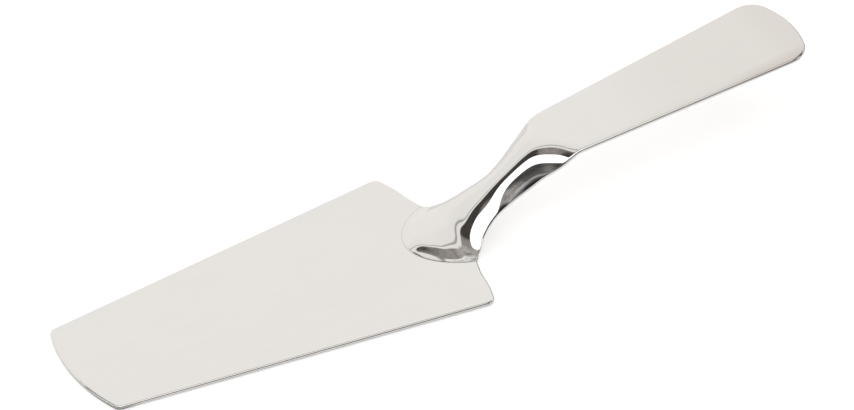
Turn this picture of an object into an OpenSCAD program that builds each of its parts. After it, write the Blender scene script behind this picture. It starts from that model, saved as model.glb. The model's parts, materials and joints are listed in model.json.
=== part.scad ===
// Cake server in polished steel sheet, lying on its flat blade.
// The origin is on the blade's underside, midway between its two rear corners.
// +X runs along the server to the handle's end, +Y across it, and +Z up.
// The grip, the channel-shaped neck and the tongue on the blade are one pressed sheet.

/* [Blade] */
// Thickness of the blade's sheet
blade_t = 1.5; // [1.2:0.1:2]
// Length of the blade from its rear corners to its tip corners
blade_len = 120; // [90:1:150]
// Width of the blade across its rear corners
blade_rear_w = 70; // [60:1:80]
// Width of the blade across its tip corners
blade_tip_w = 42; // [34:1:56]
// How far the tip's arc bows out past its corners
tip_bow = 3.9; // [2:0.1:8]
// Radius of the tip corners
tip_corner_r = 1.6; // [1:0.1:4]
// Radius of the rear corners
rear_corner_r = 3; // [1:0.5:6]
// Radius of the hollow where each shoulder meets the tongue
waist_r = 2.5; // [1:0.5:4]

/* [Tongue] */
// How far the tongue reaches onto the blade past the rear corners
tongue_reach = 9.7; // [8:0.1:14]
// Distance from the rear corners back to the place where the tongue becomes the neck
tongue_back = 5; // [4:0.5:7]
// Width of the tongue where it becomes the neck
tongue_w = 31.9; // [28:0.1:36]
// Half the length of the ellipse that the tongue's rim follows
rim_ellipse_r = 30.5; // [26:0.5:36]
// Height of the tongue's thin rim above the blade
rim_h = 0.2; // [0.15:0.05:0.4]
// Height of the sloping band inside the rim
band_h = 0.95; // [0.7:0.05:1.4]
// Width of the sloping band at the tongue's front
band_w = 4.6; // [3:0.1:7]

/* [Neck] */
// Length of the neck between the tongue and the flat grip
neck_len = 38.5; // [32:0.5:46]
// Height of the sheet's top where the tongue becomes the neck
neck_foot_z = 5.4; // [5:0.1:6]
// Height of the sheet's top where the neck becomes the grip
neck_top_z = 25.3; // [20:0.1:30]
// Greatest drop of the neck's flanks below its crown
flank_drop = 6.9; // [5:0.1:8]

/* [Grip] */
// Thickness of the handle's sheet
handle_t = 1.5; // [1.2:0.1:1.8]
// Length of the grip from the neck to its end corners
grip_len = 78.4; // [60:0.1:100]
// Rise of the grip from the neck to its end corners
grip_rise = 9.2; // [0:0.1:16]
// Width of the grip where it leaves the neck
grip_start_w = 23.4; // [20:0.2:27]
// Width of the grip across its end corners
grip_end_w = 32.8; // [28:0.2:38]
// How far the grip's end bows out past its corners
end_bow = 4.3; // [3:0.1:7]
// Radius of the grip's end corners
end_corner_r = 7.6; // [4:0.1:9]

/* [Braze] */
// Width of the braze bead on the blade
bead_w = 0.4; // [0.3:0.05:0.8]

/* [Hidden] */
// How far the blade's stub runs back under the neck, past the tongue
stub_len = 3;
// How far inside the sheet's edge each side of the stub stays
stub_inset = 0.9;
// Width left on the blade between the tongue's edge and the waist
waist_margin = 0.3;

// How softly the tongue's sides turn into the neck's
waist_ease = 0.4;
// How fast each side closes in at first, in half widths of the grip per length of the neck
closing_share = 3;

// Places along the neck, as shares of its length
neck_at_shares = [0, 0.13, 0.29, 0.44, 0.6, 0.73, 0.83, 0.92, 1];
// Rise of the crown there, as shares of the rise from the tongue to the grip
crown_shares = [0, 0.179, 0.364, 0.55, 0.768, 0.92, 0.972, 0.999, 1];
// Width there, as shares of the grip's first width, after the tongue's own
waist_shares = [0.973, 0.735, 0.661, 0.745, 0.86, 0.965, 1.015, 1];
// Drop of the flanks there, as shares of the greatest drop, after the tongue's own. The last one is
// the slight roll of the grip's sides.
drop_shares = [0.678, 0.7, 0.8, 0.899, 0.789, 0.548, 0.239, 0.04];

// Places of the sections, as shares of the way from the tongue's front to the grip
section_at_shares =
    [0, 0.05, 0.109, 0.161, 0.212, 0.241, 0.287, 0.343, 0.417, 0.51, 0.64, 0.81, 0.88, 0.935, 1];
// Where the tongue's crease lies there, as shares of the half width
crease_shares = [0.23, 0.19, 0.537, 0.8, 0.88, 0.73, 0.7, 0.4, 0.13, 0.1, 0.1, 0.1, 0.1, 0.1, 0.1];
// Where the foot outside the crease begins
foot_shares = [0.58, 0.644, 0.777, 0.872, 0.893, 0.875, 0.912, 1.053, 1.1, 1, 1, 1, 1, 1, 1];
// Slope of the foot beside the slope above it
foot_slope_shares = [1.046, 0.939, 0.5, 0.222, 0.266, 0.293, 0.054, 0.3, 0.6, 0.6, 0.6, 0.6, 0.6, 0.6, 0.6];
// How softly the crease bends
soft_shares = [0.116, 0.116, 0.17, 0.206, 0.316, 0.431, 0.37, 0.2, 0.07, 0.1, 0.1, 0.1, 0.1, 0.1, 0.1];
// How far the section is a plain arc, as on the neck, instead of creased
round_shares = [0, 0, 0, 0, 0, 0, 0, 0.785, 1, 1, 1, 1, 1, 1, 1];
// Flat middle of the arc, as shares of the half width
flat_shares = [0.05, 0.05, 0.05, 0.05, 0.05, 0.05, 0.05, 0.3, 0.241, 0.09, 0.14, 0.12, 0.139, 0.2, 0.7];
// Angle through which the arc bends
bend_angles = [38.6, 38.6, 38.6, 38.6, 38.6, 38.6, 38.6, 39.9, 40, 45, 50, 54.2, 50, 39.2, 30];
// How softly the section turns at its middle and at its foot
middle_share = 0.08;

// Rows and columns of the pressed sheet, and points of a rounded corner
tongue_rows = 15;
neck_rows = 32;
grip_rows = 4;
corner_steps = 8;
end_steps = 6;
half_columns = 14;
// The first row spans the tongue's front and the last the grip's end, at these angles
first_row_angle = 4;
last_row_angle = 3;

// Sizes that follow from the ones above
rim_z = blade_t + rim_h;
rim_centre_x = rim_ellipse_r - tongue_reach;
tongue_angle = acos((rim_centre_x - tongue_back) / rim_ellipse_r);
rim_half_w = tongue_w / 2 / sin(tongue_angle);
tongue_len = tongue_reach + tongue_back;
tongue_slope = (neck_foot_z - rim_z - band_h) / tongue_len;
neck_rise = neck_top_z - neck_foot_z;
grip_x = tongue_back + neck_len;
grip_slope = grip_rise / grip_len;
grip_taper = (grip_end_w - grip_start_w) / 2 / grip_len;
blade_taper = (blade_rear_w - blade_tip_w) / 2 / blade_len;
width_shares = concat([tongue_w / grip_start_w], waist_shares);
flank_shares = concat([(neck_foot_z - rim_z) / flank_drop], drop_shares);

function unit(v) = v / norm(v);

// Index of the table's interval that holds a place
function interval(places, at, i = 0) =
    i >= len(places) - 2 || at <= places[i + 1] ? i : interval(places, at, i + 1);

// Slope of the table between one place and the next
function rise_after(places, values, i) = (values[i + 1] - values[i]) / (places[i + 1] - places[i]);

// Slope of the smooth curve at one of the table's places: none where the values turn back
function table_slope(places, values, i) =
    let (
        a = rise_after(places, values, max(i - 1, 0)),
        b = rise_after(places, values, min(i, len(places) - 2))
    )
    a * b > 0 ? 2 * a * b / (a + b) : 0;

// Smooth curve through a table of values, with given slopes at its two ends
function smooth(places, values, at, first_slope, last_slope) =
    let (
        i = interval(places, at),
        run = places[i + 1] - places[i],
        t = (at - places[i]) / run,
        given_first = i == 0 && !is_undef(first_slope),
        given_last = i == len(places) - 2 && !is_undef(last_slope),
        slope_a = given_first ? first_slope : table_slope(places, values, i),
        slope_b = given_last ? last_slope : table_slope(places, values, i + 1)
    )
    values[i] * (1 + 2 * t) * (1 - t) ^ 2 + values[i + 1] * t ^ 2 * (3 - 2 * t)
    + run * slope_a * t * (1 - t) ^ 2 - run * slope_b * t ^ 2 * (1 - t);

// Arc of points that rounds the corner at b on the way from a to c
function rounded(a, b, c, r) =
    let (
        u = unit(a - b),
        v = unit(c - b),
        half = acos(u * v) / 2,
        hub = b + unit(u + v) * r / sin(half),
        from = b + u * r / tan(half) - hub,
        to = b + v * r / tan(half) - hub,
        start = atan2(from[1], from[0]),
        sweep = atan2(from[0] * to[1] - from[1] * to[0], from * to)
    )
    [for (i = [0:corner_steps]) let (a = start + sweep * i / corner_steps) hub + r * [cos(a), sin(a)]];

// Near half of an end that bows out past its corners, from the side to the middle.
// x and half_w place the corner, and taper is the side's widening towards the end.
function half_end(x, half_w, taper, bow, r, stop_angle) =
    let (
        big_r = (half_w ^ 2 + bow ^ 2) / (2 * bow),
        hub_x = x + bow - big_r,
        along = unit([1, -taper]),
        inward = [-along[1], along[0]],
        q = [x - hub_x, -half_w] + r * inward,
        back = sqrt((q * along) ^ 2 - q * q + (big_r - r) ^ 2) - q * along,
        corner = q + back * along,
        start = atan2(-inward[1], -inward[0]),
        stop = atan2(corner[1], corner[0])
    )
    concat(
        [for (i = [0:corner_steps]) let (a = start + (stop - start) * i / corner_steps)
            [hub_x, 0] + corner + r * [cos(a), sin(a)]],
        [for (i = [1:end_steps]) let (a = stop + (-stop_angle - stop) * i / end_steps)
            [hub_x, 0] + big_r * [cos(a), sin(a)]]
    );

// One side of the blade's outline, from the tip's middle to the stub, with y negative
function blade_side() =
    let (
        tip = half_end(blade_len, blade_tip_w / 2, -blade_taper, tip_bow, tip_corner_r, 0),
        last = len(tip) - 1,
        rear = [0, -blade_rear_w / 2],
        waist = [tongue_back, -half_w(tongue_back) - waist_margin],
        stub_x = tongue_back + stub_len,
        stub = [stub_x, stub_inset - half_w(stub_x)]
    )
    concat(
        [for (i = [last:-1:0]) [-tip[i][0], tip[i][1]]],
        rounded([-blade_len, -blade_tip_w / 2], rear, waist, rear_corner_r),
        rounded(rear, waist, stub, waist_r),
        [stub]
    );

// Half the width of the pressed sheet: the smaller of the rim's and the neck's, eased at their crossing
function half_w(x) =
    let (
        on = min(x, tongue_back),
        rim = rim_half_w * sqrt(max(0, 1 - ((on - rim_centre_x) / rim_ellipse_r) ^ 2))
            + (x - on) * rim_half_w / rim_ellipse_r / tan(tongue_angle),
        share = (x - tongue_back) / neck_len,
        last = grip_taper * 2 * neck_len / grip_start_w,
        curve = smooth(neck_at_shares, width_shares, max(0, min(share, 1)), -closing_share, last),
        neck = grip_start_w / 2 * (curve - closing_share * min(share, 0) + last * max(share - 1, 0))
    )
    (rim + neck) / 2 - sqrt(((rim - neck) / 2) ^ 2 + waist_ease ^ 2);

// A row of the sheet: place, crown height, half width and drop at the edge
function tongue_row(angle) =
    let (
        x = rim_centre_x - rim_ellipse_r * cos(angle),
        run = x + tongue_reach,
        rise = band_h * (1 - (1 - min(run / band_w, 1)) ^ 2) + tongue_slope * run
    )
    [x, rim_z + rise, half_w(x), rise];

function neck_row(share) =
    let (
        x = tongue_back + neck_len * share,
        first = tongue_slope * neck_len / neck_rise,
        last = grip_slope * neck_len / neck_rise,
        crown = smooth(neck_at_shares, crown_shares, share, first, last),
        drop = smooth(neck_at_shares, flank_shares, share, tongue_slope * neck_len / flank_drop)
    )
    [x, neck_foot_z + neck_rise * crown, half_w(x), flank_drop * drop];

function grip_row(x, half) =
    [x, neck_top_z + grip_slope * (x - grip_x), half, flank_drop * flank_shares[len(flank_shares) - 1]];

grip_end = half_end(grip_x + grip_len, grip_end_w / 2, grip_taper, end_bow, end_corner_r, last_row_angle);
rows = concat(
    [for (i = [0:tongue_rows])
        tongue_row(first_row_angle + (tongue_angle - first_row_angle) * i / tongue_rows)],
    [for (i = [1:neck_rows]) neck_row(i / neck_rows)],
    [for (i = [1:grip_rows - 1]) let (x = grip_x + (grip_end[0][0] - grip_x) * i / grip_rows)
        grip_row(x, half_w(x))],
    [for (p = grip_end) grip_row(p[0], -p[1])]
);

// Depth of a section that bends once, at the given place and as softly as given
function bend_depth(at, place, soft) =
    let (q = sqrt(at ^ 2 + middle_share ^ 2) - sqrt(place ^ 2 + middle_share ^ 2))
    q + sqrt(q ^ 2 + soft ^ 2);

// Depth of the creased section: it bends down at the crease and back at the foot
function creased(at, crease, foot, foot_slope, soft) =
    bend_depth(at, crease, soft) - (1 - foot_slope) * bend_depth(at, foot, middle_share);

// Shares of the drop at a row's columns: creased on the tongue, part of an ellipse on the neck.
// Where a row is narrower than the sheet's straight sides, at the grip's end, its columns lie further in.
function row_shares(x, half) =
    let (
        reach = half / half_w(x),
        place = max(0, min((x + tongue_reach) / (tongue_len + neck_len), 1)),
        crease = smooth(section_at_shares, crease_shares, place),
        foot = smooth(section_at_shares, foot_shares, place),
        foot_slope = smooth(section_at_shares, foot_slope_shares, place),
        soft = smooth(section_at_shares, soft_shares, place),
        round_share = smooth(section_at_shares, round_shares, place),
        flat = smooth(section_at_shares, flat_shares, place),
        bend = smooth(section_at_shares, bend_angles, place),
        first = creased(0, crease, foot, foot_slope, soft),
        last = creased(1, crease, foot, foot_slope, soft)
    )
    [for (c = columns)
        let (
            at = abs(c) * reach,
            s = max(0, (at - flat) / (1 - flat)) * sin(bend),
            arc = (1 - sqrt(1 - s ^ 2)) / (1 - cos(bend)),
            crease_depth = (creased(at, crease, foot, foot_slope, soft) - first) / (last - first)
        )
        (1 - round_share) * crease_depth + round_share * arc];

columns = [for (j = [-half_columns:half_columns]) j / half_columns];
last_row = len(rows) - 1;
last_column = len(columns) - 1;
top = [for (r = rows) let (shares = row_shares(r[0], r[2]))
    [for (j = [0:last_column]) [r[0], r[2] * columns[j], r[1] - r[3] * shares[j]]]];

function top_at(i, j) = top[min(max(i, 0), last_row)][min(max(j, 0), last_column)];

function top_normal(i, j) =
    unit(cross(top_at(i + 1, j) - top_at(i - 1, j), top_at(i, j + 1) - top_at(i, j - 1)));

// The underside is one sheet thickness in, or where the blade's top stops it
under = [for (i = [0:last_row]) [for (j = [0:last_column])
    let (n = top_normal(i, j), to_blade = (top[i][j][2] - blade_t) / n[2])
    top[i][j] - n * min(handle_t, to_blade)]];

function flat_list(grid) = [for (line = grid) for (p = line) p];

// Closed skin between two grids of points that have the same rows and columns
module sheet_between(upper, lower) {
    m = len(upper);
    n = len(upper[0]);
    low = m * n;
    edge = concat(
        [for (j = [0:n - 1]) j],
        [for (i = [1:m - 1]) i * n + n - 1],
        [for (j = [n - 2:-1:0]) (m - 1) * n + j],
        [for (i = [m - 2:-1:1]) i * n]
    );
    turns = len(edge);
    polyhedron(
        points = concat(flat_list(upper), flat_list(lower)),
        faces = concat(
            [for (i = [0:m - 2]) for (j = [0:n - 2]) let (k = i * n + j) [k, k + 1, k + n + 1]],
            [for (i = [0:m - 2]) for (j = [0:n - 2]) let (k = i * n + j) [k, k + n + 1, k + n]],
            [for (i = [0:m - 2]) for (j = [0:n - 2]) let (k = low + i * n + j) [k, k + n + 1, k + 1]],
            [for (i = [0:m - 2]) for (j = [0:n - 2]) let (k = low + i * n + j) [k, k + n, k + n + 1]],
            [for (i = [0:turns - 1]) let (a = edge[i], b = edge[(i + 1) % turns]) [a, low + a, low + b]],
            [for (i = [0:turns - 1]) let (a = edge[i], b = edge[(i + 1) % turns]) [a, low + b, b]]
        ),
        convexity = 6
    );
}

// Rows and columns of the sheet's points along the tongue's rim, from one side round to the other
bead_rows = tongue_rows - 1;
rim_path = concat(
    [for (i = [bead_rows:-1:1]) [i, 0]],
    [for (j = [0:last_column]) [0, j]],
    [for (i = [1:bead_rows]) [i, last_column]]
);

// Foot of the bead on the blade, outside the rim
function bead_foot(p) =
    let (out = unit([(p[0] - rim_centre_x) / rim_ellipse_r ^ 2, p[1] / rim_half_w ^ 2]))
    [p[0] + bead_w * out[0], p[1] + bead_w * out[1], blade_t];

module blade() {
    side = blade_side();
    color("gainsboro")
        linear_extrude(blade_t)
            polygon(concat(side, [for (i = [len(side) - 1:-1:1]) [side[i][0], -side[i][1]]]));
}

module handle() {
    color("silver")
        sheet_between(top, under);
}

module braze_seam() {
    stations = [for (k = rim_path) let (a = top[k[0]][k[1]], b = under[k[0]][k[1]])
        [a, b, bead_foot(a)]];
    m = len(stations);
    color("darkgray")
        polyhedron(
            points = flat_list(stations),
            faces = concat(
                [[0, 1, 2], [3 * m - 1, 3 * m - 2, 3 * m - 3]],
                [for (i = [0:m - 2]) for (s = [0:2]) let (a = 3 * i + s, b = 3 * i + (s + 1) % 3)
                    [a, a + 3, b + 3]],
                [for (i = [0:m - 2]) for (s = [0:2]) let (a = 3 * i + s, b = 3 * i + (s + 1) % 3)
                    [a, b + 3, b]]
            ),
            convexity = 4
        );
}

blade();
handle();
braze_seam();
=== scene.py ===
import json
import math

import bmesh
import bpy
import numpy as np
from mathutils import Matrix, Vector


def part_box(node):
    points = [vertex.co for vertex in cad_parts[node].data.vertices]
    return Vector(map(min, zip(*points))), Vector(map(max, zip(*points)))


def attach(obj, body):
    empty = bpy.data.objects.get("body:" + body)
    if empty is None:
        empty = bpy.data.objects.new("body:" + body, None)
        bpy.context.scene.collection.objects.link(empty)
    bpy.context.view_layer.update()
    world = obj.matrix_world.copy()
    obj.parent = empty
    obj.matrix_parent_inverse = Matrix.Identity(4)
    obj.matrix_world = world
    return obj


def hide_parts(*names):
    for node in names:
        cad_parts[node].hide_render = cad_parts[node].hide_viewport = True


bl_info = {
    "name": "Cake server",
    "version": (1, 0, 0),
    "blender": (4, 5, 0),
    "location": "3D View > Sidebar > Cake server",
    "description": "Polished sheet-steel cake server: blade, pressed handle, braze and a pale studio",
    "category": "Add Mesh",
}

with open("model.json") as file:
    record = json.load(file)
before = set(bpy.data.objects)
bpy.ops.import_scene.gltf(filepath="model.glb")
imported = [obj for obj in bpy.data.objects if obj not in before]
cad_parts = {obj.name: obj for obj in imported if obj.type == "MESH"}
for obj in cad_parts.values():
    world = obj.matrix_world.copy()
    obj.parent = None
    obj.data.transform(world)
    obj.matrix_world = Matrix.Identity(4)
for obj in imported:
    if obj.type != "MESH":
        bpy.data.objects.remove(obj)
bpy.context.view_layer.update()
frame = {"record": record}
BLADE_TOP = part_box("blade")[1].z
SLOT_COLOURS = {m["slot"]: tuple(m["base_color"]) for m in frame["record"]["materials"]}

MM = 0.001
# Width of the camera's sensor in millimetres
SENSOR = 36
# Largest part of a thin sheet's thickness that one eased edge takes
EDGE_SHARE = 0.46
# How soft a bend of a section is at the middle and at the foot, squared
SOFT_SQUARED = 0.0064
# The largest value of t^2 (1 - t)^2 (1 - 2 t), the course of a shoulder's swing
SWING_PEAK = 0.0179
# How far the blade stands out beside the tongue, and how far its stub stays under the neck
BESIDE_TONGUE = 0.3 * MM
UNDER_NECK = 0.9 * MM
# How far the braze stands over the rim that it covers, and how far it goes into the blade
BRAZE_OVER_RIM = 0.004 * MM
BRAZE_IN_BLADE = 0.05 * MM
# Share of the tongue's rim that the braze follows, and how hollow its face is
BRAZE_REACH = 0.985
BRAZE_HOLLOW = 2.2
# Change of the neck's width at the tongue, in first grip widths per neck length
NARROWING = -3

# Places along the neck, as shares of its length from the tongue to the grip
NECK_AT = np.array([0, 0.13, 0.29, 0.44, 0.60, 0.73, 0.83, 0.92, 1])
# Rise of the crown there, as shares of the whole rise
CROWN = np.array([0, 0.174, 0.363, 0.547, 0.766, 0.928, 0.98, 0.999, 1])
# Width there, as shares of the grip's first width, after the tongue's own
WAIST = np.array([0.973, 0.735, 0.661, 0.745, 0.86, 0.965, 1.015, 1])
# Drop of the flanks there, as shares of the greatest drop, after the tongue's own
DROP = np.array([0.688, 0.601, 0.802, 0.876, 0.802, 0.613, 0.226, 0.04])
# Places of the sections, as shares of the way from the tongue's front to the grip
SECTION_AT = np.array([0, 0.05, 0.109, 0.161, 0.212, 0.241, 0.287, 0.343, 0.417, 0.51, 0.64, 0.81,
                       0.88, 0.935, 1])
# Where the section's crease lies and where its foot begins, as shares of the half width
CREASE = np.array([0.216, 0.261, 0.528, 0.854, 0.95, 0.95, 0.725, 0.544, 0.05, 0.1, 0.1, 0.1,
                   0.1, 0.1, 0.1])
FOOT = np.array([0.599, 0.629, 0.737, 0.884, 0.915, 0.804, 0.846, 1.077, 1.149, 1, 1, 1, 1, 1, 1])
# Slope of the foot beside the slope above it, and how softly the crease bends
FOOT_SLOPE = np.array([1.5, 0.652, 0.542, 0.386, 0.584, 0.666, 0.359, 0.129, 0.268, 0.6, 0.6,
                       0.6, 0.6, 0.6, 0.6])
CREASE_SOFT = np.array([0.152, 0.152, 0.246, 0.346, 0.473, 0.5, 0.421, 0.217, 0.06, 0.1, 0.1,
                        0.1, 0.1, 0.1, 0.1])
# How far the section is round instead of creased, its flat middle and its bend in degrees
ROUND = np.array([0, 0, 0, 0, 0, 0, 0, 0.601, 1, 1, 1, 1, 1, 1, 1])
FLAT = np.array([0.05, 0.05, 0.05, 0.05, 0.05, 0.05, 0.05, 0.255, 0.168, 0.109, 0.128, 0.133,
                 0.137, 0.077, 0.7])
BEND = np.array([38.6, 38.6, 38.6, 38.6, 38.6, 38.6, 38.6, 33.4, 29.6, 34, 41.7, 45.8, 41.2,
                 34.8, 30])
# Offsets and weights with which neighbouring sections melt into each other
MELT = ((-2, 0.1), (-1, 0.24), (0, 0.32), (1, 0.24), (2, 0.1))
# One offset along the sheet, and how far before the blade's rear corners it starts to grow
MELT_STEP = 0.9 * MM
MELT_START = 6 * MM
# The tongue's plan is a plain ellipse up to this far before the neck, and then eases into it
PLAIN_RIM = 8 * MM

# Over this last part of the tongue the edge's radius grows from the thin rim's to the full
RIM_END = 2 * MM
# How far behind the tongue the sheet can still meet the blade's stub
STUB_REACH = 3 * MM
# How far past its edge a section's curve is followed, in half widths
SECTION_END = 1.1
ROUND_END = 1.05

# The front row of the handle's grid spans the ellipse up to this angle from its axis
FRONT_ANGLE = math.radians(34)
# How close the grip's rows lie beside the neck's, and where they start to, past the neck
GRIP_ROWS = 0.42
GRIP_ROWS_FROM = 4 * MM
# Shares of the side's length over which the curves of the handle's two ends fade
FRONT_FADE = 0.12
END_FADE = 0.2

# Counts of points: tip corner and bow, rear arcs, shoulder with its two ends
TIP_POINTS = (14, 40)
ARC_POINTS = 18
SHOULDER_POINTS = 42
# Tongue's side, neck's side, grip's end corner and bow
TONGUE_POINTS = 400
NECK_POINTS = 600
END_POINTS = (80, 120)
# Along the braze and over its face
BRAZE_POINTS = 260
BRAZE_FACE_POINTS = 14

# Bands of the surroundings, in degrees from the front horizon over the top to the back
ROOM_SHADOW = (18, 22)
ROOM_STRIP = (22, 23.5, 25.5, 27)
PANEL_FROM = (49.5, 50.5)
GAP_FROM = (76.5, 77.5)
BACKDROP_FROM = (104, 106)
THIN_LINE = (111.5, 113, 114.5, 116)


# Sizes and colours that a user would change

def length_prop(name, description, default):
    """A length that a user can change, in the scene's units."""
    return bpy.props.FloatProperty(
        name=name, description=description, default=default, min=0, precision=5, unit="LENGTH")


def share_prop(name, description, default, top=1.0):
    """A plain number from 0 to the given top."""
    return bpy.props.FloatProperty(
        name=name, description=description, default=default, min=0, max=top, subtype="FACTOR")


def colour_prop(name, description, default):
    """A linear colour."""
    return bpy.props.FloatVectorProperty(
        name=name, description=description, default=default, min=0, max=1, size=3, subtype="COLOR")


class BladeSizes(bpy.types.PropertyGroup):
    """Sizes of the flat blade."""
    thickness: length_prop("Thickness", "Thickness of the blade's sheet", BLADE_TOP)
    length: length_prop("Length", "From the rear corners to the tip corners", 120 * MM)
    rear_width: length_prop("Rear width", "Width across the rear corners", 70 * MM)
    tip_width: length_prop("Tip width", "Width across the tip corners", 42 * MM)
    tip_bow: length_prop("Tip bow", "How far the tip bows out past its corners", 3.9 * MM)
    tip_corner: length_prop("Tip corner", "Radius of the tip corners", 2.6 * MM)
    rear_corner: length_prop("Rear corner", "Radius of the rear corners", 3 * MM)
    waist_corner: length_prop("Waist", "Radius of the hollow beside the tongue", 2.5 * MM)
    edge: length_prop("Edge", "Radius of the eased and polished edges", 0.6 * MM)
    stub: length_prop("Stub", "How far the blade runs back under the neck", 3 * MM)
    swing: length_prop("Swing", "How far the rear shoulders swing out and in", 0.24 * MM)


class HandleSizes(bpy.types.PropertyGroup):
    """Sizes of the pressed sheet that is tongue, neck and grip in one."""
    thickness: length_prop("Thickness", "Thickness of the handle's sheet", 1.5 * MM)
    tongue_reach: length_prop("Tongue reach", "Reach past the blade's rear corners", 9.7 * MM)
    tongue_back: length_prop("Tongue back", "From the rear corners to the neck", 5 * MM)
    tongue_width: length_prop("Tongue width", "Width where it becomes the neck", 31.9 * MM)
    waist_ease: length_prop("Waist ease", "How softly the tongue's side turns into the neck's", 0.4 * MM)
    rim_half: length_prop("Rim ellipse", "Half the length of the rim's ellipse", 30.5 * MM)
    rim_height: length_prop("Rim height", "Height of the thin rim above the blade", 0.2 * MM)
    band_height: length_prop("Band height", "Height of the sloping band in the rim", 0.95 * MM)
    band_width: length_prop("Band width", "Width of the band at the tongue's front", 4.6 * MM)
    neck_length: length_prop("Neck length", "From the tongue to the grip", 38.5 * MM)
    foot_height: length_prop("Foot height", "Top of the sheet where the neck starts", 5.4 * MM)
    top_height: length_prop("Top height", "Top of the sheet where the grip starts", 25.3 * MM)
    flank_drop: length_prop("Flank drop", "Greatest drop of the neck's flanks", 6.9 * MM)
    grip_length: length_prop("Grip length", "From the neck to the end corners", 78.4 * MM)
    grip_rise: length_prop("Grip rise", "Rise from the neck to the end corners", 9.2 * MM)
    grip_start: length_prop("Grip start", "Width where it leaves the neck", 23.4 * MM)
    grip_end: length_prop("Grip end", "Width across the end corners", 32.8 * MM)
    end_bow: length_prop("End bow", "How far the end bows out past its corners", 4.3 * MM)
    end_corner: length_prop("End corner", "Radius of the grip's end corners", 7.6 * MM)
    edge: length_prop("Edge", "Radius of the eased and polished edges", 0.72 * MM)


class BrazeSizes(bpy.types.PropertyGroup):
    """Sizes of the bead of braze around the tongue's rim."""
    width: length_prop("Width", "Width of the bead on the blade", 0.4 * MM)
    overlap: length_prop("Overlap", "How far the bead covers the tongue's rim", 0.3 * MM)


class SteelFinish(bpy.types.PropertyGroup):
    """How the polished steel looks."""
    steel: colour_prop("Steel", "Colour of the polished sheet", SLOT_COLOURS["blade_steel"])
    braze: colour_prop("Braze", "Colour of the polished braze", SLOT_COLOURS["braze"])
    gloss: share_prop("Roughness", "Roughness of the mirror polish", 0.05)
    satin: share_prop("Grip roughness", "Extra roughness towards the grip's end", 0.10)
    marks: share_prop("Polishing marks", "Strength of the fine polishing marks", 0.35)
    dulling: share_prop("Dulling", "How much duller and warmer the grip is", 0.25)


class StudioSetup(bpy.types.PropertyGroup):
    """The pale floor, the light around it and the camera."""
    floor: colour_prop("Floor", "Colour of the floor", (0.86, 0.86, 0.86))
    sweep: share_prop("Backdrop", "Level of the pale backdrop in the reflections", 1.02, 4)
    panel: share_prop("Light panel", "Level of the soft light overhead", 1.9, 4)
    dark: share_prop("Dark room", "Level of the dark room in the reflections", 0.03)
    azimuth: bpy.props.FloatProperty(
        name="Azimuth", description="Turn of the camera around the server",
        default=math.radians(-31.059), subtype="ANGLE")
    elevation: bpy.props.FloatProperty(
        name="Elevation", description="Height angle of the camera",
        default=math.radians(37.43), subtype="ANGLE")
    distance: length_prop("Distance", "From the camera to its target", 1.816)
    target: bpy.props.FloatVectorProperty(
        name="Target", description="Point in the middle of the picture",
        default=(7.384 * MM, 17.196 * MM, 0), size=3, unit="LENGTH")
    focal: bpy.props.FloatProperty(
        name="Focal length", description="Focal length for a 36 mm wide picture",
        default=6000 / 854 * SENSOR, min=1)


# Curves and plans

def table_cubic(places, values, slope, at):
    """Curve through a table of values and slopes, one cubic between each two places.

    Where t runs from 0 to 1 between the places, the curve is
    first * (1 + 2 t) (1 - t)^2 + second * t^2 (3 - 2 t)
    + run * (first slope * t (1 - t)^2 - second slope * t^2 (1 - t)).
    """
    run = np.diff(places)
    k = np.clip(np.searchsorted(places, at, side="right") - 1, 0, len(places) - 2)
    t = (at - places[k]) / run[k]
    return (values[k] * (1 + 2 * t) * (1 - t) ** 2 + values[k + 1] * t ** 2 * (3 - 2 * t)
            + run[k] * (slope[k] * t * (1 - t) ** 2 - slope[k + 1] * t ** 2 * (1 - t)))


def flowing_curve(places, values, at, first_slope, last_slope):
    """Cubic curve through a table whose slope and curvature never jump.

    The slopes at the table's places solve the rule that the curvature is the same on
    both sides of each, with the two end slopes given.
    """
    run = np.diff(places)
    rise = np.diff(values) / run
    count = len(places)
    rule = np.zeros((count, count))
    given = np.zeros(count)
    rule[0, 0] = 1
    rule[-1, -1] = 1
    given[0] = first_slope
    given[-1] = last_slope
    i = np.arange(1, count - 1)
    rule[i, i - 1] = run[1:]
    rule[i, i] = 2 * (run[:-1] + run[1:])
    rule[i, i + 1] = run[:-1]
    given[i] = 3 * (run[1:] * rise[:-1] + run[:-1] * rise[1:])
    return table_cubic(places, values, np.linalg.solve(rule, given), at)


def eased_curve(places, values, at, first_slope=None):
    """Cubic curve through a table that never overshoots it.

    The slope at each place is the harmonic mean of the slopes on its two sides, and
    zero where they have opposite signs. A first slope can be given.
    """
    run = np.diff(places)
    rise = np.diff(values) / run
    product = rise[:-1] * rise[1:]
    total = np.where(product > 0, rise[:-1] + rise[1:], 1)
    first = rise[0] if first_slope is None else first_slope
    slope = np.concatenate([[first], np.where(product > 0, 2 * product / total, 0), [rise[-1]]])
    return table_cubic(places, values, slope, at)


def corner_arc(before, corner, after, radius, count):
    """Arc of the given radius that rounds a corner, from the first side to the second.

    Its hub lies on the line that halves the corner, radius / sin(half the corner) away,
    and a point of it is hub + radius * (cos(angle), sin(angle)).
    """
    u = (before - corner) / np.linalg.norm(before - corner)
    v = (after - corner) / np.linalg.norm(after - corner)
    half = math.acos(float(u @ v)) / 2
    middle = (u + v) / np.linalg.norm(u + v)
    hub = corner + middle * radius / math.sin(half)
    start = corner + u * radius / math.tan(half) - hub
    stop = corner + v * radius / math.tan(half) - hub
    first = math.atan2(start[1], start[0])
    sweep = math.atan2(start[0] * stop[1] - start[1] * stop[0], float(start @ stop))
    angle = first + sweep * np.linspace(0, 1, count)
    return hub + radius * np.stack([np.cos(angle), np.sin(angle)], -1)


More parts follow.
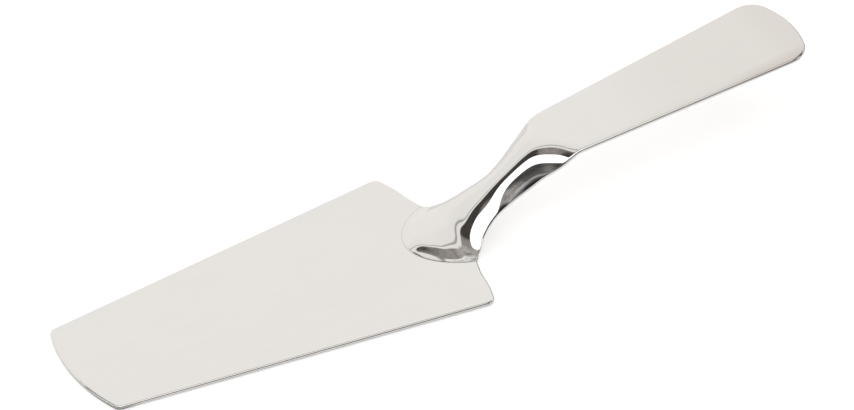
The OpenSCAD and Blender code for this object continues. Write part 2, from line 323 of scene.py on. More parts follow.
def bowed_end(place, half_width, taper, bow, radius, corner_count, bow_count):
    """Near half of an end that bows out past its corners, from the side to the middle.

    The bow is one large arc through both corners, of radius (half^2 + bow^2) / (2 * bow),
    and each corner is an arc of the given radius that touches the side and the large arc
    from inside. For each unit of length the side moves out by taper.
    """
    large = (half_width ** 2 + bow ** 2) / (2 * bow)
    hub = np.array([place + bow - large, 0])
    along = np.array([1, -taper]) / math.hypot(1, taper)
    inward = np.array([-along[1], along[0]])
    q = np.array([place, -half_width]) - hub + radius * inward
    back = math.sqrt(float(q @ along) ** 2 - float(q @ q) + (large - radius) ** 2) - float(q @ along)
    corner = q + back * along
    first = math.atan2(-inward[1], -inward[0])
    touch = math.atan2(corner[1], corner[0])
    a = np.linspace(first, touch, corner_count)
    b = np.linspace(touch, 0, bow_count)[1:]
    small = hub + corner + radius * np.stack([np.cos(a), np.sin(a)], -1)
    wide = hub + large * np.stack([np.cos(b), np.sin(b)], -1)
    return np.concatenate([small, wide])


def even_points(line, count):
    """Points at equal steps of length along a polyline in the plan."""
    step = np.linalg.norm(np.diff(line, axis=0), axis=1)
    run = np.concatenate([[0], np.cumsum(step)])
    at = np.linspace(0, run[-1], count)
    return np.stack([np.interp(at, run, line[:, 0]), np.interp(at, run, line[:, 1])], -1)


def across(near_half):
    """The whole of a line that is the same on both sides, from its near half."""
    far = near_half[-2::-1] * np.array([1, -1])
    return np.concatenate([near_half, far])


def closed_normals(loop):
    """Outward directions of a closed plan outline that runs clockwise, seen from above.

    Each is the line from the point before to the point after, turned left by a right angle.
    """
    along = np.roll(loop, -1, axis=0) - np.roll(loop, 1, axis=0)
    out = np.stack([-along[:, 1], along[:, 0]], -1)
    return out / np.linalg.norm(out, axis=1, keepdims=True)


def rim_index(rows, columns):
    """Indices of a grid's border, once round: first row, last column, last row, first column."""
    grid = np.arange(rows * columns).reshape(rows, columns)
    return np.concatenate([grid[0, :-1], grid[:-1, -1], grid[-1, :0:-1], grid[:0:-1, 0]])


# Meshes

def piece_from(name, points, faces, smooth=True):
    """A new object at the origin from points in metres and faces as rows of indices."""
    mesh = bpy.data.meshes.new(name)
    mesh.from_pydata(points.tolist(), [], faces.tolist())
    mesh.polygons.foreach_set("use_smooth", np.full(len(mesh.polygons), smooth))
    mesh.update()
    piece = bpy.data.objects.new(name, mesh)
    bpy.context.scene.collection.objects.link(piece)
    return piece


def polished_sheet(name, top, normal, out, thickness, edge, turns=7):
    """A sheet with eased edges around a grid of points on its top.

    The underside is the top moved back along its normals by the thickness. From the top's
    border a quarter circle of radius edge turns down to the sheet's edge, a straight part
    follows, and a second quarter circle turns in to the underside's border:
    border + radius * (sin(angle) * outward + (cos(angle) - 1) * normal), and the same
    from below. Where the sheet is thin the radius shrinks with it.
    """
    rows, columns = top.shape[:2]
    low = top - normal * thickness[..., None]
    border = rim_index(rows, columns)
    size = rows * columns
    count = len(border)
    edge_top = top.reshape(-1, 3)[border]
    edge_low = low.reshape(-1, 3)[border]
    up = normal.reshape(-1, 3)[border]
    radius = np.minimum(edge, EDGE_SHARE * thickness.reshape(-1)[border])[:, None]
    angle = np.linspace(0, math.pi / 2, turns)[1:, None, None]
    upper = edge_top + radius * (np.sin(angle) * out + (np.cos(angle) - 1) * up)
    lower = edge_low + radius * (np.sin(angle) * out - (np.cos(angle) - 1) * up)
    rings = np.concatenate([upper, lower[::-1]])
    points = np.concatenate([top.reshape(-1, 3), low.reshape(-1, 3), rings.reshape(-1, 3)])
    k = np.arange(size).reshape(rows, columns)
    quads = np.stack([k[:-1, :-1], k[1:, :-1], k[1:, 1:], k[:-1, 1:]], -1).reshape(-1, 4)
    ring_rows = np.arange(len(rings) * count).reshape(len(rings), count) + 2 * size
    ladder = np.concatenate([border[None], ring_rows, border[None] + size])
    after = np.roll(ladder, -1, axis=1)
    walls = np.stack([ladder[:-1], after[:-1], after[1:], ladder[1:]], -1).reshape(-1, 4)
    return piece_from(name, points, np.concatenate([quads, size + quads[:, ::-1], walls]))


def carried_profile(name, stations):
    """A closed profile carried along a path, still open at both ends.

    Row i of stations holds the profile's points at step i of the path. Each face joins
    two neighbouring points of one row to the same two of the next.
    """
    rows, columns = stations.shape[:2]
    k = np.arange(rows * columns).reshape(rows, columns)
    after = np.roll(k, -1, axis=1)
    faces = np.stack([k[:-1], after[:-1], after[1:], k[1:]], -1).reshape(-1, 4)
    return piece_from(name, stations.reshape(-1, 3), faces)


def close_and_turn_out(piece):
    """Closes the open ends with one face each and turns every face outwards."""
    shape = bmesh.new()
    shape.from_mesh(piece.data)
    bmesh.ops.holes_fill(shape, edges=[e for e in shape.edges if e.is_boundary], sides=0)
    bmesh.ops.recalc_face_normals(shape, faces=shape.faces)
    shape.to_mesh(piece.data)
    shape.free()
    piece.data.update()


# Shapes of this server

def blade_outline(sizes, handle, count_across=141):
    """The blade's tip and rear curves, from the near side to the far side.

    The rear curve is a rounded corner, a shoulder that runs in to the tongue, a rounded
    hollow beside the tongue and the end of the stub under the neck. Where t goes from 0
    to 1 along it, the shoulder swings out and in again by t^2 (1 - t)^2 (1 - 2 t).
    """
    taper = (sizes.rear_width - sizes.tip_width) / 2 / sizes.length
    tip = bowed_end(sizes.length, sizes.tip_width / 2, -taper, sizes.tip_bow,
                    sizes.tip_corner, *TIP_POINTS) * np.array([-1, 1])
    before = np.array([-sizes.length, -sizes.tip_width / 2])
    rear = np.array([0, -sizes.rear_width / 2])
    waist = np.array([handle.tongue_back, 0])
    waist[1] = -half_width(handle, waist[:1])[0] - BESIDE_TONGUE
    stub = np.array([handle.tongue_back + sizes.stub, 0])
    stub[1] = UNDER_NECK - half_width(handle, stub[:1])[0]
    rear_arc = corner_arc(before, rear, waist, sizes.rear_corner, ARC_POINTS)
    waist_arc = corner_arc(rear, waist, stub, sizes.waist_corner, ARC_POINTS)
    share = np.linspace(0, 1, SHOULDER_POINTS)[1:-1, None]
    swing = share ** 2 * (1 - share) ** 2 * (1 - 2 * share) / SWING_PEAK
    run = waist_arc[0] - rear_arc[-1]
    outwards = np.array([run[1], -run[0]]) / np.hypot(run[0], run[1])
    swinging = rear_arc[-1] + run * share + sizes.swing * swing * outwards
    shoulder = np.concatenate([rear_arc, swinging, waist_arc, [stub, [stub[0], 0]]])
    half = count_across // 2 + 1
    return across(even_points(tip, half)), across(even_points(shoulder, half))


def blade_grid(sizes, handle, rows=150):
    """Top of the blade: straight lines from the tip's curve to the rear's curve.

    A point is tip * (1 - s) + rear * s, where both curves lie inside the outline by the
    edge's radius, so the eased edge ends on the outline itself. Gives the border's
    outward directions too.
    """
    tip, rear = blade_outline(sizes, handle)
    columns = len(tip)
    s = np.linspace(0, 1, rows)[:, None, None]
    plan = tip * (1 - s) + rear * s
    border = rim_index(rows, columns)
    moved = plan.reshape(-1, 2).copy()
    out = closed_normals(moved[border])
    moved[border] -= sizes.edge * out
    moved = moved.reshape(rows, columns, 2)
    plan = moved[0] * (1 - s) + moved[-1] * s
    top = np.concatenate([plan, np.full(plan.shape[:2] + (1,), sizes.thickness)], -1)
    out = np.concatenate([out, np.zeros((len(out), 1))], -1)
    return top, out


def rim_ellipse(h):
    """Centre of the rim's ellipse, its angle where the tongue ends, and half its width.

    At that angle the ellipse has the tongue's place and width: centre - length * cos(angle)
    along the server and half width * sin(angle) across it.
    """
    centre = h.rim_half - h.tongue_reach
    end = math.acos((centre - h.tongue_back) / h.rim_half)
    return centre, end, h.tongue_width / 2 / math.sin(end)


def half_width(h, x):
    """Half the width of the pressed sheet at places along x.

    The rim is an ellipse up to the tongue's end and its tangent from there, and the neck
    is a curve through a table and its tangent before. The half width is the smaller of
    the two, eased where they cross: (a + b) / 2 - sqrt(((a - b) / 2)^2 + ease^2).
    """
    start = h.tongue_back
    centre, end, rim_width = rim_ellipse(h)
    on = np.minimum(x, start)
    rim = rim_width * np.sqrt(np.clip(1 - ((on - centre) / h.rim_half) ** 2, 0, None))
    rim = rim + (x - on) * rim_width / h.rim_half / math.tan(end)
    half = h.grip_start / 2
    narrowing = NARROWING * half
    widening = (h.grip_end - h.grip_start) / 2 / h.grip_length * h.neck_length
    widths = np.concatenate([[h.tongue_width / h.grip_start], WAIST])
    share = (x - start) / h.neck_length
    neck = half * flowing_curve(
        NECK_AT, widths, np.clip(share, 0, 1), narrowing / half, widening / half)
    neck = neck + narrowing * np.minimum(share, 0) + widening * np.maximum(share - 1, 0)
    return (rim + neck) / 2 - np.sqrt(((rim - neck) / 2) ** 2 + h.waist_ease ** 2)


def sheet_rows(h, x):
    """Crown height, half width and edge drop of the pressed sheet at places along x.

    On the tongue the crown is the rim's height, a band that rises as 1 - (1 - t)^2 and
    then a straight slope. Along the neck it follows a table from that slope to the
    grip's, and the grip is straight. The drop brings the edge down to the rim on the
    tongue and follows a table along the neck.
    """
    start = h.tongue_back
    grip = start + h.neck_length
    rim = BLADE_TOP + h.rim_height
    run = np.clip(x + h.tongue_reach, 0, None)
    slope = (h.foot_height - rim - h.band_height) / (h.tongue_reach + start)
    band = 1 - (1 - np.clip(run / h.band_width, 0, 1)) ** 2
    tongue_crown = rim + h.band_height * band + slope * run
    share = np.clip((x - start) / h.neck_length, 0, 1)
    rise = h.top_height - h.foot_height
    grip_slope = h.grip_rise / h.grip_length
    neck_crown = h.foot_height + rise * flowing_curve(
        NECK_AT, CROWN, share, slope * h.neck_length / rise, grip_slope * h.neck_length / rise)
    grip_crown = h.top_height + grip_slope * (x - grip)
    on_tongue = x < start
    on_grip = x > grip
    crown = np.where(on_tongue, tongue_crown, np.where(on_grip, grip_crown, neck_crown))
    drops = np.concatenate([[(h.foot_height - rim) / h.flank_drop], DROP])
    neck_drop = h.flank_drop * eased_curve(
        NECK_AT, drops, share, slope * h.neck_length / h.flank_drop)
    drop = np.where(on_tongue, tongue_crown - rim, neck_drop)
    return crown, half_width(h, x), drop


def section_drop(h, x, eta):
    """Share of the drop at a share eta of the half width.

    The creased section adds two bends, each q + sqrt(q^2 + softness^2) with q the
    distance from the bend: one down at the crease and one back at the foot. The round
    section is part of an ellipse, 1 - sqrt(1 - (s * sin(bend))^2), with s from the edge
    of its flat middle. The two are mixed along the sheet.
    """
    at = np.clip((x + h.tongue_reach) / (h.tongue_reach + h.tongue_back + h.neck_length), 0, 1)
    crease = eased_curve(SECTION_AT, CREASE, at)
    foot = eased_curve(SECTION_AT, FOOT, at)
    foot_slope = eased_curve(SECTION_AT, FOOT_SLOPE, at)
    soft = eased_curve(SECTION_AT, CREASE_SOFT, at)
    flat = eased_curve(SECTION_AT, FLAT, at)
    bend = np.radians(eased_curve(SECTION_AT, BEND, at))
    mix = eased_curve(SECTION_AT, ROUND, at)

    def bends(place):
        near = np.sqrt(place ** 2 + SOFT_SQUARED)
        q = near - np.sqrt(crease ** 2 + SOFT_SQUARED)
        p = near - np.sqrt(foot ** 2 + SOFT_SQUARED)
        down = q + np.sqrt(q ** 2 + soft ** 2)
        return down - (1 - foot_slope) * (p + np.sqrt(p ** 2 + SOFT_SQUARED))

    level = bends(np.zeros_like(eta))
    creased = (bends(eta) - level) / (bends(np.ones_like(eta)) - level)
    s = np.clip((eta - flat) / (1 - flat), 0, ROUND_END) * np.sin(bend)
    rounded = (1 - np.sqrt(1 - s ** 2)) / (1 - np.cos(bend))
    return (1 - mix) * creased + mix * rounded


def plain_height(h, x, y):
    """Crown height less the section's share of the drop, over a point of the plan."""
    crown, half, drop = sheet_rows(h, x)
    eta = np.minimum(np.abs(y) / np.maximum(half, 1e-9), SECTION_END)
    return crown - drop * section_drop(h, x, eta)


def sheet_height(h, x, y):
    """Height of the pressed sheet's top over a point of the plan.

    Behind the tongue's front the sections melt into each other: the height is a
    weighted mean of five heights a little apart along the sheet.
    """
    apart = MELT_STEP * np.clip((x + MELT_START) / MELT_START, 0, 1)
    return sum(weight * plain_height(h, x + step * apart, y) for step, weight in MELT)


def sheet_normal(h, x, y, step=1e-5):
    """Direction square to the pressed sheet's top, from differences of its height."""
    dx = (sheet_height(h, x + step, y) - sheet_height(h, x - step, y)) / (2 * step)
    dy = (sheet_height(h, x, y + step) - sheet_height(h, x, y - step)) / (2 * step)
    n = np.stack([-dx, -dy, np.ones_like(dx)], -1)
    return n / np.linalg.norm(n, axis=-1, keepdims=True)


def handle_plan(h, rows=380, columns=111):
    """Plan of the pressed sheet as a grid from the tongue's front to the grip's end.

    A row lies at its side's place plus the front's curve and the end's curve, each times
    a fade, along the server, and at the half width times its columns' spacing across it.
    The fades go to nothing away from their ends, so the first row is the rim's front,
    the last row is the grip's end and the rows between are straight.
    """
    centre, angle_end, rim_width = rim_ellipse(h)
    theta = np.linspace(FRONT_ANGLE, angle_end, TONGUE_POINTS)
    tongue = np.stack([centre - h.rim_half * np.cos(theta), -rim_width * np.sin(theta)], -1)
    neck_x = h.tongue_back + h.neck_length * np.linspace(0, 1, NECK_POINTS)[1:]
    neck = np.stack([neck_x, -half_width(h, neck_x)], -1)
    taper = (h.grip_end - h.grip_start) / 2 / h.grip_length
    end = bowed_end(h.tongue_back + h.neck_length + h.grip_length, h.grip_end / 2, taper,
                    h.end_bow, h.end_corner, *END_POINTS)
    # The side ends in the middle of the grip's rounded corner, and the last row goes on there
    turn = END_POINTS[0] // 2
    eased = tongue[:, 0] > h.tongue_back - PLAIN_RIM
    tongue[eased, 1] = -half_width(h, tongue[eased, 0])
    side = np.concatenate([tongue, neck, end[:turn + 1]])
    step = np.linalg.norm(np.diff(side, axis=0), axis=1)
    run = np.concatenate([[0], np.cumsum(step)])
    # Rows lie closer together on the tongue and the neck than on the flat grip
    before_grip = side[:, 0] < h.tongue_back + h.neck_length + GRIP_ROWS_FROM
    weight = np.where(before_grip, 1.0, GRIP_ROWS)
    pace = np.concatenate([[0], np.cumsum(step * 0.5 * (weight[1:] + weight[:-1]))])
    at = np.interp(np.linspace(0, pace[-1], rows), pace, run)
    side = np.stack([np.interp(at, run, side[:, 0]), np.interp(at, run, side[:, 1])], -1)
    v = np.linspace(-1, 1, columns)
    front_x = -h.rim_half * (np.cos(FRONT_ANGLE * v) - math.cos(FRONT_ANGLE))
    front_v = np.sin(FRONT_ANGLE * v) / math.sin(FRONT_ANGLE)
    last = across(even_points(end[turn:], columns // 2 + 1))
    end_x = last[:, 0] - last[0, 0]
    end_v = last[:, 1] / -last[0, 1]
    reach = at / at[-1]
    front_fade = np.clip(1 - reach / FRONT_FADE, 0, 1)[:, None] ** 2
    end_fade = np.clip(1 - (1 - reach) / END_FADE, 0, 1)[:, None] ** 2
    x = side[:, :1] + front_fade * front_x + end_fade * end_x
    spacing = v + front_fade * (front_v - v) + end_fade * (end_v - v)
    y = -side[:, 1:] * spacing
    return np.stack([x, y], -1)


def handle_grid(h):
    """Top of the pressed sheet with its normals, outward directions and thickness.

    The border moves in by the edge's radius. A point inside moves by what the two sides
    and the two ends move beside it, each mixed by its place between them, less the same
    mix of the four corners. The thickness is the sheet's own, or over the blade the way
    down to the blade's top where that is less.
    """
    plan = handle_plan(h)
    rows, columns = plan.shape[:2]
    border = rim_index(rows, columns)
    loop = plan.reshape(-1, 2)[border]
    flat_out = closed_normals(loop)
    on_rim = np.clip((h.tongue_back - loop[:, 0]) / RIM_END, 0, 1)
    edge = np.minimum(h.edge, h.edge * (1 - on_rim) + EDGE_SHARE * h.rim_height * on_rim)
    # The slope across the border is taken a little inside it
    inner = loop - 0.2 * MM * flat_out
    n = sheet_normal(h, inner[:, 0], inner[:, 1])
    along = np.stack([-flat_out[:, 1], flat_out[:, 0], np.zeros(len(loop))], -1)
    along[:, 2] = -(n[:, 0] * along[:, 0] + n[:, 1] * along[:, 1]) / n[:, 2]
    out = np.cross(along, n)
    out /= np.linalg.norm(out, axis=1, keepdims=True)
    inset = loop - edge[:, None] * out[:, :2]
    shift = np.zeros((rows * columns, 2))
    shift[border] = inset - loop
    shift = shift.reshape(rows, columns, 2)
    v = np.linspace(-1, 1, columns)[None, :, None]
    u = np.linspace(0, 1, rows)[:, None, None]
    sides = 0.5 * (1 - v) * shift[:, :1] + 0.5 * (1 + v) * shift[:, -1:]
    ends = (1 - u) * shift[:1] + u * shift[-1:]
    corners = ((1 - u) * (0.5 * (1 - v) * shift[:1, :1] + 0.5 * (1 + v) * shift[:1, -1:])
               + u * (0.5 * (1 - v) * shift[-1:, :1] + 0.5 * (1 + v) * shift[-1:, -1:]))
    plan = plan + sides + ends - corners
    x = plan[..., 0]
    y = plan[..., 1]
    z = sheet_height(h, x, y)
    top = np.stack([x, y, z], -1)
    normal = sheet_normal(h, x, y)
    to_blade = (z - BLADE_TOP) / normal[..., 2]
    over_blade = x < h.tongue_back + STUB_REACH
    thickness = np.where(over_blade, np.minimum(h.thickness, to_blade), h.thickness)
    return top, normal, out, thickness


# Materials

class Wire:
    """A shader socket that takes part in Python sums, with the tree it belongs to."""

    def __init__(self, tree, socket):
        self.tree = tree
        self.socket = socket

    def node(self, kind, settings=None, values=None, output=0):
        """Adds any node: its type, its settings, the values or links of its sockets."""
        made = self.tree.nodes.new(kind)
        for key, value in (settings or {}).items():
            setattr(made, key, value)
        for key, value in (values or {}).items():
            if isinstance(value, Wire):
                self.tree.links.new(value.socket, made.inputs[key])
            else:
                made.inputs[key].default_value = value
        return Wire(self.tree, made.outputs[output] if made.outputs else None)

    def maths(self, operation, *terms):
        """A Math node of one operation on numbers and wires."""
        return self.node("ShaderNodeMath", {"operation": operation}, dict(enumerate(terms)))

    def __add__(self, other):
        return self.maths("ADD", self, other)

    def __radd__(self, other):
        return self.maths("ADD", other, self)

    def __sub__(self, other):
        return self.maths("SUBTRACT", self, other)

    def __rsub__(self, other):
        return self.maths("SUBTRACT", other, self)

    def __mul__(self, other):
        return self.maths("MULTIPLY", self, other)

    def __rmul__(self, other):
        return self.maths("MULTIPLY", other, self)

    def step(self, low, high):
        """A smooth step from 0 to 1 as this wire goes from low to high."""
        return self.node("ShaderNodeMapRange", {"interpolation_type": "SMOOTHSTEP"},
                         {"Value": self, "From Min": low, "From Max": high})

    def parts(self):
        """The X, Y and Z of this vector."""
        return [self.node("ShaderNodeSeparateXYZ", None, {"Vector": self}, output=axis)
                for axis in "XYZ"]

    def ray(self, kind):
        """1 for light paths of one kind, else 0."""
        return self.node("ShaderNodeLightPath", None, None, output=kind)

    def noise(self, scale, detail, roughness):
        """Noise on this wire as its coordinate."""
        return self.node("ShaderNodeTexNoise", None,
                         {"Vector": self, "Scale": scale, "Detail": detail,
                          "Roughness": roughness})

    def stretched(self, scale, turn):
        """This coordinate turned and scaled."""
        return self.node("ShaderNodeMapping", None,
                         {"Vector": self, "Scale": scale, "Rotation": turn})

    def coloured(self, tint, level):
        """This level times another and a tint, as a colour."""
        scaled = self * level
        return self.node("ShaderNodeCombineXYZ", None,
                         {"X": scaled * tint[0], "Y": scaled * tint[1], "Z": scaled * tint[2]})

    def mixed(self, first, second):
        """A colour between two, by this wire."""
        return self.node("ShaderNodeMix", {"data_type": "RGBA"},
                         {"Factor": self, 6: first, 7: second}, output=2)


def new_material(name):
    """A new material with its tree emptied, and a wire to start from."""
    material = bpy.data.materials.new(name)
    material.use_nodes = True
    tree = material.node_tree
    tree.nodes.clear()
    return material, Wire(tree, None)


def opaque(colour, level=1.0):
    """A colour with its alpha, scaled."""
    return tuple(level * c for c in colour) + (1.0,)


def steel_material(name, finish, colour, satin):
    """Mirror-polished steel: faint cloudy roughness, fine marks of the polishing wheel
    across the sheet, a few longer wipes, and a tone that shifts slightly with the polish.

    The cut edge at the blade's near tip corner is darker, a painted reflection of the dark
    room that stands in for what its small eased edge would mirror. A sheet with satin grows
    rougher from 50 to 120 mm along the server. It is also a little warmer and duller
    there, more so at its end, and most of all along the near side of its end, where the
    extra darkening is painted shade.
    """
    material, w = new_material(name)
    place = w.node("ShaderNodeTexCoord", None, None, output="Object")
    clouds = place.noise(38, 3, 0.55)
    broad = place.noise(11, 2, 0.5)
    marks = place.stretched((900, 60, 300), (0, 0, 0.35)).noise(1.0, 3, 0.6)
    wipes = place.stretched((50, 420, 200), (0, 0, -0.2)).noise(1.0, 2, 0.5)
    along, beside, height = place.parts()
    worn = along.step(50 * MM, 120 * MM)
    roughness = (finish.gloss * (0.6 + 0.8 * clouds) + worn * satin * (0.5 + 0.5 * marks)
                 + (marks - 0.5) * 0.02 * finish.marks + (wipes - 0.5) * 0.015 * finish.marks)
    tone = (0.35 * broad + 0.35 * clouds + 0.3 * wipes).step(0.3, 0.7)
    base = tone.mixed(opaque(colour, 0.985), opaque(colour, 1.01))
    # Painted reflection: the low part of the edge near the blade's near tip corner gets a much darker
    # base colour, standing in for the dark room mirrored in that small eased edge
    low_edge = 1 - height.step(0.7 * MM, 1.3 * MM)
    at_tip = 1 - along.step(-118.5 * MM, -112 * MM)
    near_side = 1 - beside.step(-20 * MM, 12 * MM)
    base = (low_edge * at_tip * near_side).mixed(base, opaque(colour, 0.45))
    if satin > 0:
        on_grip = along.step(55 * MM, 90 * MM) * finish.dulling
        # Painted shade: along the near side of the grip's end the base colour turns darker and warmer,
        # standing in for the darker reflection where that side rolls off
        near_edge_painted_shade = beside.step(-10.5 * MM, -15.5 * MM) * along.step(90 * MM, 108 * MM) * 0.5
        last = along.step(110 * MM, 124 * MM) * 0.15
        warm = opaque((colour[0] * 0.79, colour[1] * 0.75, colour[2] * 0.71))
        base = (on_grip + near_edge_painted_shade + last).mixed(base, warm)
    relief = marks * 0.5 + wipes * 0.5
    fine = w.node("ShaderNodeBump", None,
                  {"Strength": 0.05 * finish.marks, "Distance": 0.02 * MM, "Height": relief})
    shader = w.node("ShaderNodeBsdfPrincipled", None,
                    {"Base Color": base, "Metallic": 1.0, "Roughness": roughness, "Normal": fine})
    w.node("ShaderNodeOutputMaterial", None, {"Surface": shader})
    return material


def floor_material(studio):
    """A pale matt floor with a faint grain. It adds a glow of its own for the camera and
    a weaker one for the metal, so it shows as white and keeps the object's soft shadow.
    """
    material, w = new_material("pale_floor")
    place = w.node("ShaderNodeTexCoord", None, None, output="Object")
    grain = place.noise(220, 3, 0.6)
    colour = grain.mixed(opaque(studio.floor, 0.99), opaque(studio.floor, 1.0))
    matt = w.node("ShaderNodeBsdfDiffuse", None, {"Color": colour})
    seen = w.ray("Is Camera Ray") + w.ray("Is Transmission Ray")
    strength = seen * 0.49 + w.ray("Is Glossy Ray") * 0.2
    glow = w.node("ShaderNodeEmission", None, {"Color": (1, 1, 1, 1), "Strength": strength})
    both = w.node("ShaderNodeAddShader", None, {0: matt, 1: glow})
    w.node("ShaderNodeOutputMaterial", None, {"Surface": both})
    return material


# Surroundings

def band(wire, low, low_end, high, high_end):
    """1 between two soft steps of a wire, up from low to low_end, down from high to high_end."""
    return wire.step(low, low_end) * (1 - wire.step(high, high_end))


def dark_gap(sideways, aside, patches, specks):
    """Colour of the dark stand in the gap, deepest to the left and pale to the right."""
    level = (0.06 + 0.18 * sideways.step(-0.42, -0.26) + 0.08 * sideways.step(-0.3, -0.15)
             + 0.25 * sideways.step(0, 0.3))
    return level.coloured((1.05, 0.98, 0.92), aside * (0.8 * patches + 2.6 * specks - 0.75))


def dark_room(studio, angle, sideways, aside, patches, specks):
    """Colour of the room: brown and grey shapes, a broken bright strip and blue-black below."""
    level = studio.dark * 2.5 + 0.28 * sideways.step(-0.28, 0)
    room = level.coloured((1.0, 0.97, 0.95), aside * (1.2 * patches + 3.2 * specks - 1.2))
    strip = band(angle, *ROOM_STRIP) * patches.step(0.3, 0.6) * 0.45 * aside
    low_level = studio.dark + 0.12 * sideways.step(-0.02, 0.1) * aside
    low = low_level.coloured((0.85, 0.98, 1.15), 1.0)
    room = angle.step(*ROOM_SHADOW).mixed(low, room)
    return strip.mixed(room, opaque((0.75, 0.73, 0.7)))


def pale_backdrop(studio, angle, sideways):
    """Colour of the backdrop, with a thin line and two darker parts towards the right."""
    line = band(angle, *THIN_LINE) * (1 - sideways.step(0.05, 0.11))
    darker = (angle.step(150, 162) * sideways.step(0.12, 0.3)
              + (1 - angle.step(114, 128)) * sideways.step(0.08, 0.22))
    level = (studio.sweep * (0.93 + 0.07 * angle.step(112, 142)) * (1 - 0.55 * line)
             * (1 - 0.7 * darker))
    return level.coloured((1.0, 0.982, 0.96), 1.0)


def studio_world(studio):
    """Light all around, in bands that run across the server: a pale backdrop behind, a
    dark gap, a soft light overhead and a dark room in front.

    The band of a direction is its angle from the front horizon over the top to the back
    horizon, atan2(up, forward), where forward points from the server to the camera's side.
    Below the horizon all is pale, and the camera itself sees plain white.
    """
    world = bpy.data.worlds.new("studio")
    bpy.context.scene.world = world
    world.use_nodes = True
    tree = world.node_tree
    tree.nodes.clear()
    w = Wire(tree, None)
    direction = w.node("ShaderNodeTexCoord", None, None, output="Generated")
    x, y, z = direction.parts()
    a = studio.azimuth
    forward = x * math.sin(a) - y * math.cos(a)
    sideways = x * math.cos(a) + y * math.sin(a)
    # Kept just over the horizon, where the angle would jump
    above = w.maths("MAXIMUM", z, 0.002)
    angle = w.maths("ARCTAN2", above, forward) * (180 / math.pi)
    patches = direction.noise(7, 3, 0.6)
    specks = direction.noise(26, 5, 0.75)
    # The gap and the room are almost black far to the right
    aside = 1 - 0.92 * sideways.step(0.4, 0.55)
    gap = dark_gap(sideways, aside, patches, specks)
    room = dark_room(studio, angle, sideways, aside, patches, specks)
    # The light overhead has a dark part to the right
    open_panel = 1 - 0.9 * band(sideways, 0.5, 0.58, 0.74, 0.8)
    panel = (studio.panel * open_panel).coloured((1.0, 1.0, 1.0), 1.0)
    backdrop = pale_backdrop(studio, angle, sideways)
    colour = angle.step(*PANEL_FROM).mixed(room, panel)
    colour = angle.step(*GAP_FROM).mixed(colour, gap)
    colour = angle.step(*BACKDROP_FROM).mixed(colour, backdrop)
    below = 1 - z.step(-0.02, 0.02)
    colour = below.mixed(colour, opaque((0.96, 0.96, 0.96)))
    colour = w.ray("Is Camera Ray").mixed(colour, opaque((1.0, 1.0, 1.0)))
    glow = w.node("ShaderNodeBackground", None, {"Color": colour, "Strength": 1.0})
    w.node("ShaderNodeOutputWorld", None, {"Surface": glow})
    return world


# Operators, panel and registration

class CAKESERVER_OT_blade(bpy.types.Operator):
    """Make the flat blade with its eased edges."""
    bl_idname = "cake_server.blade"
    bl_label = "Blade"

    def execute(self, context):
        scene = context.scene
        top, out = blade_grid(scene.blade_sizes, scene.handle_sizes)
        normal = np.zeros_like(top)
        normal[..., 2] = 1
        thickness = np.full(top.shape[:2], scene.blade_sizes.thickness)
        piece = polished_sheet("blade_sheet", top, normal, out, thickness, scene.blade_sizes.edge)
        finish = scene.steel_finish
        piece.data.materials.append(steel_material("polished_blade", finish, finish.steel, 0.0))
        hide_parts("blade")
        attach(piece, "root")
        return {"FINISHED"}


class CAKESERVER_OT_handle(bpy.types.Operator):
    """Make the pressed sheet of tongue, neck and grip."""
    bl_idname = "cake_server.handle"
    bl_label = "Handle"

    def execute(self, context):
        scene = context.scene
        h = scene.handle_sizes
        top, normal, out, thickness = handle_grid(h)
        piece = polished_sheet("handle_sheet", top, normal, out, thickness, h.edge)
        finish = scene.steel_finish
        piece.data.materials.append(
            steel_material("polished_handle", finish, finish.steel, finish.satin))
        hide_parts("handle")
        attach(piece, "root")
        return {"FINISHED"}


class CAKESERVER_OT_braze(bpy.types.Operator):
    """Make the bead of braze with its hollow face around the tongue's rim."""
    bl_idname = "cake_server.braze"
    bl_label = "Braze seam"

    def execute(self, context):
        scene = context.scene
        h = scene.handle_sizes
        b = scene.braze_sizes
        centre, angle_end, rim_width = rim_ellipse(h)
        last = angle_end * BRAZE_REACH
        theta = np.linspace(-last, last, BRAZE_POINTS)[:, None]
        rim = np.concatenate([centre - h.rim_half * np.cos(theta), rim_width * np.sin(theta)], 1)
        eased = rim[:, 0] > h.tongue_back - PLAIN_RIM
        rim[eased, 1] = np.sign(theta[eased, 0]) * half_width(h, rim[eased, 0])
        out = np.concatenate([-np.cos(theta) / h.rim_half, np.sin(theta) / rim_width], 1)
        out /= np.linalg.norm(out, axis=1, keepdims=True)
        inner = rim - b.overlap * out
        start = sheet_height(h, inner[:, 0], inner[:, 1]) + BRAZE_OVER_RIM
        foot = rim + b.width * out
        # The hollow face starts on the sheet and meets the blade flat:
        # height = blade + rise * (1 - t)^hollow, where t runs from the rim to the foot
        t = np.linspace(0, 1, BRAZE_FACE_POINTS)[:, None, None]
        plan = inner * (1 - t) + foot * t
        height = BLADE_TOP + (start - BLADE_TOP) * (1 - t[..., 0]) ** BRAZE_HOLLOW
        face = np.concatenate([plan, height[..., None]], -1).transpose(1, 0, 2)
        under = face[:, ::-1].copy()
        under[..., 2] = BLADE_TOP - BRAZE_IN_BLADE
        stations = np.concatenate([face, under], 1)
        piece = carried_profile("braze_bead", stations)
        close_and_turn_out(piece)
        finish = scene.steel_finish
        piece.data.materials.append(steel_material("polished_braze", finish, finish.braze, 0.0))
        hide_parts("braze_seam")
        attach(piece, "root")
        return {"FINISHED"}


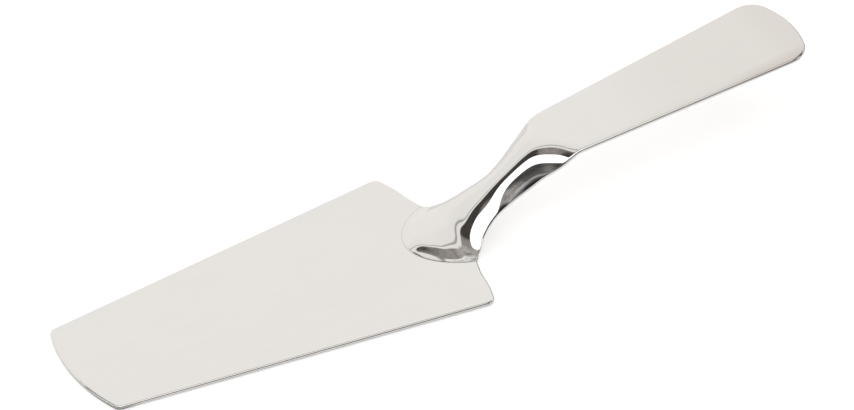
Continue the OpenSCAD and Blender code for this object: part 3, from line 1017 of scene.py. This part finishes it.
class CAKESERVER_OT_stage(bpy.types.Operator):
    """Set up the pale floor, the soft light and the camera."""
    bl_idname = "cake_server.stage"
    bl_label = "Studio"

    def execute(self, context):
        scene = context.scene
        studio = scene.studio_setup
        # Half the side of the square floor
        span = 1.6
        corners = np.array([[-span, -span, 0], [span, -span, 0], [span, span, 0], [-span, span, 0]])
        floor = piece_from("floor", corners, np.array([[0, 1, 2, 3]]), smooth=False)
        floor.data.materials.append(floor_material(studio))
        studio_world(studio)
        a = studio.azimuth
        e = studio.elevation
        back = np.array([math.sin(a) * math.cos(e), -math.cos(a) * math.cos(e), math.sin(e)])
        camera = bpy.data.objects.new("camera", bpy.data.cameras.new("camera"))
        scene.collection.objects.link(camera)
        camera.location = (np.array(studio.target) + studio.distance * back).tolist()
        camera.rotation_euler = (math.pi / 2 - e, 0, a)
        camera.data.sensor_width = SENSOR
        camera.data.lens = studio.focal
        camera.data.clip_end = 20
        scene.camera = camera
        scene.view_settings.view_transform = "Standard"
        return {"FINISHED"}


class CAKESERVER_PT_panel(bpy.types.Panel):
    """Sidebar panel with one button for each piece and its sizes."""
    bl_label = "Cake server"
    bl_idname = "CAKESERVER_PT_panel"
    bl_space_type = "VIEW_3D"
    bl_region_type = "UI"
    bl_category = "Cake server"

    def draw(self, context):
        for operator, group in STEPS:
            box = self.layout.box()
            box.operator(operator)
            sizes = getattr(context.scene, group)
            for key in type(sizes).__annotations__:
                box.prop(sizes, key)
        finish = self.layout.box()
        for key in SteelFinish.__annotations__:
            finish.prop(context.scene.steel_finish, key)


STEPS = (
    ("cake_server.blade", "blade_sizes"),
    ("cake_server.handle", "handle_sizes"),
    ("cake_server.braze", "braze_sizes"),
    ("cake_server.stage", "studio_setup"),
)
GROUPS = {
    "blade_sizes": BladeSizes,
    "handle_sizes": HandleSizes,
    "braze_sizes": BrazeSizes,
    "steel_finish": SteelFinish,
    "studio_setup": StudioSetup,
}
OPERATORS = (CAKESERVER_OT_blade, CAKESERVER_OT_handle, CAKESERVER_OT_braze, CAKESERVER_OT_stage)


def register():
    """Registers the sizes, the operators and the panel."""
    for key, group in GROUPS.items():
        bpy.utils.register_class(group)
        setattr(bpy.types.Scene, key, bpy.props.PointerProperty(type=group))
    for operator in OPERATORS:
        bpy.utils.register_class(operator)
    bpy.utils.register_class(CAKESERVER_PT_panel)


def unregister():
    """Removes the panel, the operators and the sizes again."""
    bpy.utils.unregister_class(CAKESERVER_PT_panel)
    for operator in reversed(OPERATORS):
        bpy.utils.unregister_class(operator)
    for key, group in GROUPS.items():
        delattr(bpy.types.Scene, key)
        bpy.utils.unregister_class(group)


def main():
    """Makes the whole server and its studio."""
    register()
    bpy.ops.cake_server.blade()
    bpy.ops.cake_server.handle()
    bpy.ops.cake_server.braze()
    bpy.ops.cake_server.stage()


if __name__ == "__main__":
    main()
